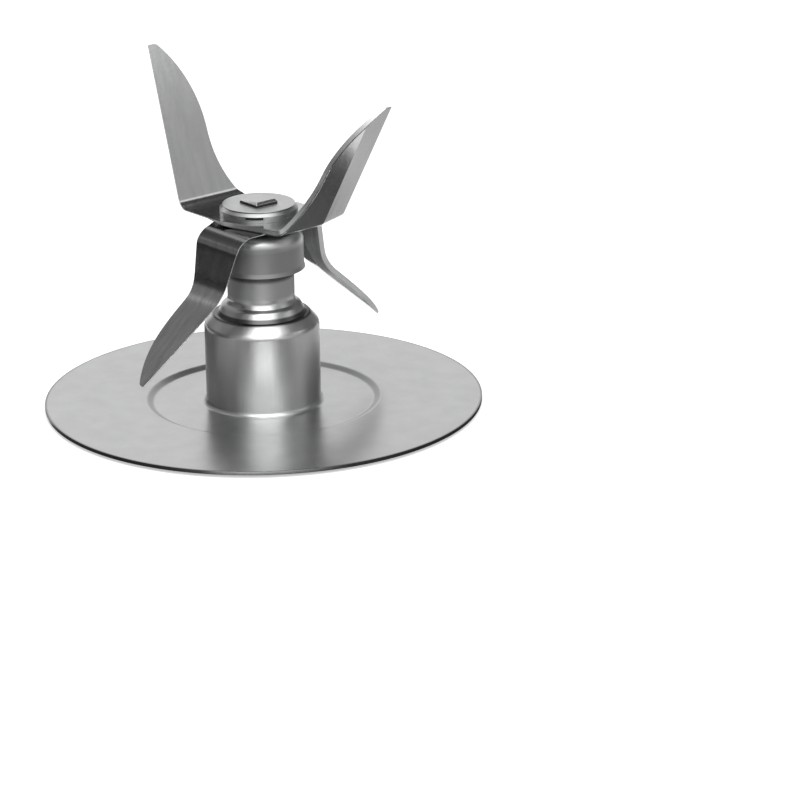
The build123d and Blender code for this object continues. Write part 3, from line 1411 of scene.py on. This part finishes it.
class Finish:
    """What every finish shares: a material with its shader and its mapped place."""

    @staticmethod
    def start(name: str) -> tuple[bpy.types.Material, Graph, bpy.types.Node]:
        """Make a material with a bare shader.

        Args:
            name: Name of the material.

        Returns:
            The material, its graph and its shader.
        """
        material = bpy.data.materials.new(name)
        material.use_nodes = True
        material.node_tree.nodes.clear()
        graph = Graph(material.node_tree)
        shader = graph.add("ShaderNodeBsdfPrincipled")
        graph.add("ShaderNodeOutputMaterial", {"Surface": shader.outputs[0]})
        return material, graph, shader

    @staticmethod
    def mapped(graph: Graph, lengths: Point3, turn: float = 0.0) -> bpy.types.NodeSocket:
        """A place on the piece in lengths of its pattern.

        Args:
            graph: The material's graph.
            lengths: Length of the pattern along each axis, in millimetres.
            turn: Angle that the axes are turned by about the spin axis.

        Returns:
            The mapped place.
        """
        place = graph.add("ShaderNodeTexCoord").outputs["Object"]
        scale = tuple(length * MM for length in lengths)
        inputs = {"Vector": place, "Rotation": (0.0, 0.0, turn), "Scale": scale}
        return graph.add("ShaderNodeMapping", inputs, vector_type="TEXTURE").outputs[0]


@dataclass(frozen=True)
class SteelFinish(Finish):
    """Bare steel with a grain, polished at its rims and painted lighter there as a highlight.

    Lengths are in millimetres, and tones are shares of the steel's own tone. The bands of painted
    shade and the matt bands, which are rougher and also painted darker as shade, are a low and a
    high end and a fade in height, and the circles of painted shade are an inner and an outer radius
    and a tone.
    """

    slot: Slot
    tone: float
    roughness: Point2
    lines: Point3 = (0.3, 0.3, 8.0)
    mottle: Point3 = (3.0, 3.0, 5.0)
    turn: float = 0.0
    tint: Point3 = (0.985, 1.0, 0.992)
    spread: float = 0.1
    relief: float = 0.012
    waves: float = 0.012
    reach: float = 0.12
    # Share by which polished rims are also painted lighter, as a highlight.
    polish_highlight: float = 1.25
    polished: float = 0.7
    fleck: float = 0.35
    pits: float = 0.1
    pit_tone: float = 0.7
    # Share and normal range by which upright faces are painted darker as shade.
    painted_side_shade: float = 1.0
    painted_side_range: Point2 = (0.1, 0.5)
    flat_roughness: float = 0.0
    flat_range: Point2 = (0.9, 0.99)
    # Bands in height painted darker as shade, in creases and under other parts, and their tone.
    painted_shade_bands: tuple[Point3, ...] = ()
    painted_shade_tone: float = 0.25
    # Circles in radius painted darker as shade, each with its tone.
    painted_shade_rings: tuple[Point3, ...] = ()
    # Matt bands in height are rougher and also painted darker as shade, by their own tone.
    matt: tuple[Point3, ...] = ()
    matt_roughness: float = 0.6
    matt_painted_shade: float = 0.65
    # Tone of a ragged line low on sheared walls; the walls are painted lighter as a highlight.
    wall_line: float = 0.0
    wall_band: Point3 = (0.1, 0.9, 0.08)
    painted_wall_highlight: float = 1.4
    wall_roughness: float = 0.45

    def shade(self, factor: float) -> tuple[float, float, float, float]:
        """The steel's colour, lightened or darkened."""
        return (*(self.tone * factor * part for part in self.tint), 1.0)

    def material(self) -> bpy.types.Material:
        """Make the material.

        Returns:
            The material, named after its slot.
        """
        material, graph, shader = self.start(f"{self.slot.value}_finish")
        fine = self.mapped(graph, self.lines, self.turn)
        slow = self.mapped(graph, self.mottle, self.turn)
        small = self.mapped(graph, (self.fleck, self.fleck, self.fleck))
        grain = graph.group(GRAIN, {"Vector": fine, "Slow": slow})
        lines, mottle = grain["Lines"], grain["Mottle"]
        pits = graph.group(SPECKS, {"Vector": small, "Size": self.pits})["Mask"]
        polish = graph.group(POLISH, {"Vector": small, "Reach": self.reach * MM})["Mask"]
        colour = graph.blend(mottle, self.shade(1.0 - self.spread), self.shade(1.0 + self.spread))
        colour = graph.blend(lines, colour, self.shade(1.0))
        colour = graph.blend(pits, colour, self.shade(self.pit_tone))
        # Polished rims are also painted lighter as a highlight.
        colour = graph.blend(polish, colour, self.shade(self.polish_highlight))
        rough = graph.ramp(lines, 0.0, 1.0, *self.roughness)
        rough = graph.ramp(polish, 0.0, 1.0, rough, self.roughness[0] * self.polished)
        colour, rough = self.mark(graph, colour, rough)
        if self.wall_line > 0.0:
            colour, rough = self.paint_sheared_walls(graph, small, colour, rough)
        waves = {"Height": mottle, "Strength": self.waves, "Distance": MM}
        swell = graph.add("ShaderNodeBump", waves).outputs[0]
        scratches = {"Height": lines, "Strength": self.relief, "Distance": BUMP_DEPTH}
        bump = graph.add("ShaderNodeBump", {**scratches, "Normal": swell}).outputs[0]
        graph.feed(shader, {
            "Metallic": 1.0, "Base Color": colour, "Roughness": rough, "Normal": bump,
        })
        return material

    def mark(self, graph: Graph, colour: Any, rough: Any) -> tuple[Any, Any]:
        """Paint the walls, the bands and the circles darker as shade, and dull the matt bands
        and the level faces.

        Args:
            graph: The material's graph.
            colour: The colour so far.
            rough: The roughness so far.

        Returns:
            The colour and the roughness.
        """
        upright = graph.upward(graph.add("ShaderNodeNewGeometry").outputs["Normal"])
        height = graph.upward(self.mapped(graph, (1.0, 1.0, 1.0)))
        radius = graph.length(self.mapped(graph, (1.0, 1.0, FLATTEN)))
        # Upright walls are painted darker as shade.
        if self.painted_side_shade < 1.0:
            walls = graph.ramp(upright, *self.painted_side_range, 1.0, 0.0)
            colour = graph.blend(walls, colour, self.shade(self.painted_side_shade))
        # Matt bands are rougher and also painted darker as shade.
        for band in self.matt:
            dull = graph.band(height, *band)
            rough = graph.ramp(dull, 0.0, 1.0, rough, self.matt_roughness)
            colour = graph.blend(dull, colour, self.shade(self.matt_painted_shade))
        # Bands in height painted darker as shade.
        for band in self.painted_shade_bands:
            colour = graph.blend(graph.band(height, *band), colour, self.shade(self.painted_shade_tone))
        # Circles in radius painted darker as shade.
        for inner, outer, tone in self.painted_shade_rings:
            shade_ring = graph.band(radius, inner, outer, SHADE_RING_FADE)
            colour = graph.blend(shade_ring, colour, self.shade(tone))
        if self.flat_roughness > 0.0:
            rough = graph.ramp(upright, *self.flat_range, rough, self.flat_roughness)
        return colour, rough

    def paint_sheared_walls(self, graph: Graph, small: Any, colour: Any, rough: Any) -> tuple[Any, Any]:
        """Paint the sheared walls of a sheet lighter as a highlight and dull them, and draw
        a ragged line low on them.

        Args:
            graph: The material's graph.
            small: The mapped place that the torn line is broken by.
            colour: The colour so far.
            rough: The roughness so far.

        Returns:
            The colour and the roughness.
        """
        through = graph.add("ShaderNodeAttribute", attribute_name=THROUGH).outputs["Fac"]
        wall = graph.band(through, *self.wall_band)
        line = graph.group(SHEAR, {"Vector": small, "Through": through})["Mask"]
        # The sheared walls are painted lighter as a highlight, and a ragged line is drawn low on
        # them.
        colour = graph.blend(wall, colour, self.shade(self.painted_wall_highlight))
        colour = graph.blend(line, colour, self.shade(self.wall_line))
        return colour, graph.ramp(wall, 0.0, 1.0, rough, self.wall_roughness)


@dataclass(frozen=True)
class MattFinish(Finish):
    """A porous, fibrous or moulded stuff with a grain of its own, its lengths in millimetres."""

    slot: Slot
    dark: Point3
    light: Point3
    roughness: Point2
    metal: float = 0.0
    lengths: Point3 = (0.2, 0.2, 0.2)
    mottle: Point3 = (2.0, 2.0, 2.0)
    relief: float = 0.3

    def material(self) -> bpy.types.Material:
        """Make the material.

        Returns:
            The material, named after its slot.
        """
        material, graph, shader = self.start(f"{self.slot.value}_finish")
        fine, slow = self.mapped(graph, self.lengths), self.mapped(graph, self.mottle)
        grain = graph.group(GRAIN, {"Vector": fine, "Slow": slow})
        lines, mottle = grain["Lines"], grain["Mottle"]
        share = graph.combine("MULTIPLY", lines, mottle)
        relief = {"Height": lines, "Strength": self.relief, "Distance": BUMP_DEPTH}
        graph.feed(shader, {
            "Metallic": self.metal,
            "Base Color": graph.blend(share, (*self.dark, 1.0), (*self.light, 1.0)),
            "Roughness": graph.ramp(mottle, 0.0, 1.0, *self.roughness),
            "Normal": graph.add("ShaderNodeBump", relief).outputs[0],
        })
        return material


@dataclass(frozen=True)
class Card:
    """A plain card that only reflections see, by its bearing, slope and size in degrees."""

    name: str
    bearing: float
    slope: float
    width: float
    height: float
    level: float
    distance: float = 0.35


@dataclass(frozen=True)
class Mat:
    """A plain mat on the floor that only reflections see, by its corners in metres."""

    name: str
    low: Point2
    high: Point2
    level: float
    layer: int = 1


@dataclass(frozen=True)
class Studio:
    """The pale floor, the soft light, the reflected cards and the camera, in metres."""

    floor_size: float = 8.0
    floor_tone: float = 0.8
    floor_glow: float = 0.45
    ambient: float = 0.6
    soft_bearing: float = 8.0
    soft_slope: float = 56.0
    soft_distance: float = 0.8
    soft_size: Point2 = (0.8, 1.06)
    soft_level: float = 2.3
    cards: tuple[Card, ...] = (
        Card("left_flag", -94.0, 2.0, 108.0, 28.0, 0.04, 0.3),
        Card("left_panel", -94.0, 32.0, 108.0, 52.0, 0.27),
        Card("left_glow", -113.0, 29.0, 12.0, 6.0, 0.75, 0.3),
        Card("right_flag", 100.0, 30.0, 96.0, 62.0, 0.15, 0.4),
        Card("right_panel", 70.0, 9.0, 40.0, 34.0, 0.58, 0.3),
        Card("right_glow", 86.0, 32.0, 22.0, 12.0, 1.4, 0.28),
        Card("rear_flag", 134.0, 51.0, 70.0, 22.0, 0.07, 0.3),
        Card("back_flag", 180.0, 48.0, 90.0, 16.0, 0.4),
    )
    mats: tuple[Mat, ...] = (
        Mat("left_mat", (-0.7, -0.7), (-0.075, 0.03), 0.06),
        Mat("left_near", (-0.075, -0.072), (-0.0305, 0.06), 0.45),
        Mat("front_near", (-0.0305, -0.072), (0.047, -0.0305), 0.34),
        Mat("front_mat", (-0.075, -0.7), (0.6, -0.072), 0.09),
        Mat("right_mat", (-0.03, -0.0305), (0.0385, 0.0175), 0.09),
        Mat("right_near", (0.047, -0.072), (0.1, 0.0175), 0.38),
        Mat("right_far", (0.1, -0.072), (0.6, 0.2), 0.45),
        Mat("right_back", (0.02, 0.0175), (0.1, 0.07), 0.7),
        Mat("back_left", (-0.075, 0.0), (0.0, 0.075), 0.1, 2),
        Mat("groove_strip", (-0.03, -0.054), (0.03, -0.0435), 0.12, 2),
        Mat("front_strip", (-0.008, -0.0435), (0.015, -0.0325), 4.6, 2),
    )
    lens: float = 157.5
    sensor: float = 36.0
    clip: Point2 = (0.01, 20.0)
    eye: Point3 = (19.015, -462.03, 162.387)
    slope: float = math.radians(19.368)
    roll: float = math.radians(0.7855)

    @staticmethod
    def toward(bearing: float, slope: float) -> Vector:
        """Direction from the object.

        Args:
            bearing: Angle round it in degrees, 0 towards the camera and 90 to its right.
            slope: Angle above level in degrees.

        Returns:
            The direction, of length 1.
        """
        turn, rise = math.radians(bearing), math.radians(slope)
        level = Vector((math.sin(turn), -math.cos(turn), 0.0)) * math.cos(rise)
        return level + Vector((0.0, 0.0, math.sin(rise)))

    def build(self) -> None:
        """Put up the whole studio."""
        self.build_world()
        self.build_floor()
        self.build_light()
        self.build_cards()
        self.build_camera()
        bpy.context.scene.view_settings.view_transform = "Standard"

    def build_world(self) -> None:
        """White where the camera and reflections look, dimmer as a light on matt things."""
        world = bpy.data.worlds.new("white_room")
        bpy.context.scene.world = world
        world.cycles.sampling_method = "NONE"
        world.use_nodes = True
        world.node_tree.nodes.clear()
        graph = Graph(world.node_tree)
        path = graph.add("ShaderNodeLightPath").outputs
        seen = graph.combine("MAXIMUM", path["Is Camera Ray"], path["Is Glossy Ray"])
        seen = graph.combine("MAXIMUM", seen, path["Is Transmission Ray"])
        level = graph.ramp(seen, 0.0, 1.0, self.ambient, 1.0)
        sky = graph.add("ShaderNodeBackground", {"Color": (1.0, 1.0, 1.0, 1.0), "Strength": level})
        graph.add("ShaderNodeOutputWorld", {"Surface": sky.outputs[0]})

    def build_floor(self) -> None:
        """A plain pale floor under the object."""
        Workpiece.clear_bench()
        bpy.ops.mesh.primitive_plane_add(size=self.floor_size)
        floor = bpy.context.object
        floor.name = "studio_floor"
        pale, graph, shader = Finish.start("pale_floor")
        graph.feed(shader, {
            "Base Color": (*(self.floor_tone,) * 3, 1.0),
            "Roughness": 1.0,
            "Specular IOR Level": 0.0,
            "Emission Color": (1.0, 1.0, 1.0, 1.0),
            "Emission Strength": self.floor_glow,
        })
        pale.cycles.emission_sampling = "NONE"
        floor.data.materials.append(pale)

    def build_light(self) -> None:
        """One large soft light in front and above."""
        place = self.toward(self.soft_bearing, self.soft_slope) * self.soft_distance
        Workpiece.clear_bench()
        bpy.ops.object.light_add(type="AREA", location=place)
        lamp = bpy.context.object
        lamp.name = "soft_light"
        lamp.rotation_euler = place.to_track_quat("Z", "Y").to_euler()
        lamp.data.shape = "RECTANGLE"
        lamp.data.size, lamp.data.size_y = self.soft_size
        lamp.data.energy = self.soft_level * math.pi * self.soft_size[0] * self.soft_size[1]
        lamp.visible_camera = False

    def build_cards(self) -> None:
        """The cards round the object and the mats on the floor that reflections see."""
        for card in self.cards:
            span = 2 * card.distance * math.tan(math.radians(card.width / 2))
            rise = 2 * card.distance * math.tan(math.radians(card.height / 2))
            place = self.toward(card.bearing, card.slope) * card.distance
            Workpiece.clear_bench()
            bpy.ops.mesh.primitive_plane_add(size=1.0, location=place)
            board = bpy.context.object
            board.rotation_euler = place.to_track_quat("Z", "Y").to_euler()
            board.scale = (span, rise, 1.0)
            self.hide_card(board, card.name, card.level)
        for mat in self.mats:
            low, high = Vector(mat.low), Vector(mat.high)
            Workpiece.clear_bench()
            place = (*(low + high) / 2, mat.layer * MAT_LIFT)
            bpy.ops.mesh.primitive_plane_add(size=1.0, location=place)
            board = bpy.context.object
            board.scale = (*(high - low), 1.0)
            self.hide_card(board, mat.name, mat.level)

    @staticmethod
    def hide_card(board: bpy.types.Object, name: str, level: float) -> None:
        """Make a board glow at a level, for reflections only.

        Args:
            board: The board.
            name: Its name.
            level: Its brightness.
        """
        board.name = name
        material = bpy.data.materials.new(name)
        material.use_nodes = True
        material.node_tree.nodes.clear()
        graph = Graph(material.node_tree)
        inputs = {"Color": (level, level, level, 1.0), "Strength": 1.0}
        glow = graph.add("ShaderNodeEmission", inputs)
        graph.add("ShaderNodeOutputMaterial", {"Surface": glow.outputs[0]})
        material.cycles.emission_sampling = "NONE"
        board.data.materials.append(material)
        board.visible_camera = False
        board.visible_diffuse = False
        board.visible_shadow = False
        board.visible_transmission = False

    def build_camera(self) -> None:
        """The camera at the photo's angle."""
        right = Vector((1.0, 0.0, 0.0))
        ahead = Vector((0.0, math.cos(self.slope), -math.sin(self.slope)))
        down = Vector((0.0, -math.sin(self.slope), -math.cos(self.slope)))
        side = right * math.cos(self.roll) + down * math.sin(self.roll)
        below = down * math.cos(self.roll) - right * math.sin(self.roll)
        Workpiece.clear_bench()
        bpy.ops.object.camera_add()
        camera = bpy.context.object
        camera.name = "photo_camera"
        turn = Matrix((side, -below, -ahead)).transposed().to_4x4()
        camera.matrix_world = Matrix.Translation(Vector(self.eye) * MM) @ turn
        camera.data.lens = self.lens
        camera.data.sensor_width = self.sensor
        camera.data.clip_start, camera.data.clip_end = self.clip
        bpy.context.scene.camera = camera


def square_bar(side: float, bottom: float, top: float, heading: float) -> Workpiece:
    """A square bar on the axis, turned with the blades.

    Args:
        side: Its width.
        bottom: Its lower end.
        top: Its upper end.
        heading: Angle about the spin axis.

    Returns:
        The bar, in edit mode.
    """
    size = Vector((side, side, top - bottom))
    return Workpiece.block("square_bar", size, Vector((0.0, 0.0, (bottom + top) / 2)), heading)


def put_on(
    piece: bpy.types.Object, material: bpy.types.Material, body: Body, node: str,
) -> None:
    """Dress a piece and set it on its body in place of a plain solid.

    Args:
        piece: The piece.
        material: Its material.
        body: The body that it rides on.
        node: The CAD node that it stands for.
    """
    piece.data.materials.clear()
    piece.data.materials.append(material)
    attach(piece, body.value)
    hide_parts(node)
    log.info("%s: %d faces, for %s", piece.name, len(piece.data.polygons), node)


def paint_node(node: str, material: bpy.types.Material) -> None:
    """Dress a plain solid that stays in view.

    Args:
        node: The CAD node.
        material: Its material.
    """
    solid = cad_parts[node]
    solid.data.materials.clear()
    solid.data.materials.append(material)
    log.info("%s: plain solid in %s", node, material.name)


def main() -> None:
    """Build and dress each sub-assembly in order, then put up the studio."""
    logging.basicConfig(level=logging.INFO, format="%(name)s: %(message)s")
    base = DrawnBase()
    # Painted shade: darker bands in the groove under the bead and on the neck under the cup, darker
    # circles at the recess's step and the flange's rim, and the neck painted darker as well as
    # rougher.
    base.dress(base.build(), SteelFinish(
        Slot.DISC, tone=0.52, roughness=(0.29, 0.37), flat_roughness=0.28,
        painted_shade_bands=((13.28, 13.8, 0.2), (19.0, 30.0, 0.5)), painted_shade_tone=0.2,
        painted_shade_rings=((15.6, 16.1, 0.58), (30.45, 32.0, 0.3)),
        matt=((16.4, 30.0, 0.5),), matt_roughness=0.5, matt_painted_shade=0.75,
    ))
    bronze = MattFinish(
        Slot.BRONZE, dark=(0.20, 0.11, 0.05), light=(0.45, 0.28, 0.13), roughness=(0.35, 0.55),
        metal=0.9,
    )
    felt = MattFinish(
        Slot.FELT, dark=(0.30, 0.25, 0.17), light=(0.62, 0.55, 0.42), roughness=(0.9, 1.0),
        relief=0.8,
    )
    rubber = MattFinish(
        Slot.RUBBER, dark=(0.012, 0.012, 0.013), light=(0.03, 0.03, 0.032), roughness=(0.5, 0.7),
    )
    plastic = MattFinish(
        Slot.PLASTIC, dark=(0.62, 0.60, 0.55), light=(0.75, 0.73, 0.68), roughness=(0.35, 0.5),
        relief=0.1,
    )
    retainer = SteelFinish(Slot.RETAINER, tone=0.4, roughness=(0.3, 0.4))
    BearingStack().dress(retainer, (bronze, felt, rubber, plastic))
    drive = DriveLine()
    # The shaft's upright walls are painted dark as shade.
    shaft = SteelFinish(
        Slot.SHAFT, tone=0.5, roughness=(0.2, 0.3), lines=(0.2, 0.2, 0.2), painted_side_shade=0.15,
    )
    drive.dress(drive.build(), shaft, SteelFinish(Slot.SOCKET, tone=0.4, roughness=(0.3, 0.42)))
    cup = SlingerCup()
    # Painted shade on the cup's top under the blades, and its wall painted darker as well as
    # rougher.
    cup.dress(cup.build(), SteelFinish(
        Slot.CAP, tone=0.5, roughness=(0.3, 0.38), painted_shade_bands=((25.4, 30.0, 0.4),),
        matt=((19.2, 23.2, 0.8),), matt_roughness=0.45, matt_painted_shade=0.62,
    ))
    # Painted shade on the lower blade where it runs under the upper one; on both, sheared walls
    # painted lighter as a highlight with a ragged line drawn low on them.
    blades = (
        (LowerBlade(), {"wall_line": 1.2, "spread": 0.28, "painted_shade_bands": ((26.2, 30.0, 2.2),)}),
        (UpperBlade(), {"wall_line": 0.35}),
    )
    for blade, wear in blades:
        blade.dress(blade.build(), SteelFinish(
            Slot.BLADE, tone=0.5, roughness=(0.14, 0.22), lines=(5.0, 0.06, 5.0),
            mottle=(5.0, 1.2, 5.0), turn=blade.heading, **wear,
        ))
    fastening = Fastening()
    # The washers' upright walls and slopes are painted darker as shade.
    washers = SteelFinish(
        Slot.WASHER, tone=0.55, roughness=(0.3, 0.4), painted_side_shade=0.68, painted_side_range=(0.8, 0.97),
    )
    fastening.dress(fastening.build_spacer(), fastening.build_washer(), washers)
    Studio().build()


if __name__ == "__main__":
    main()
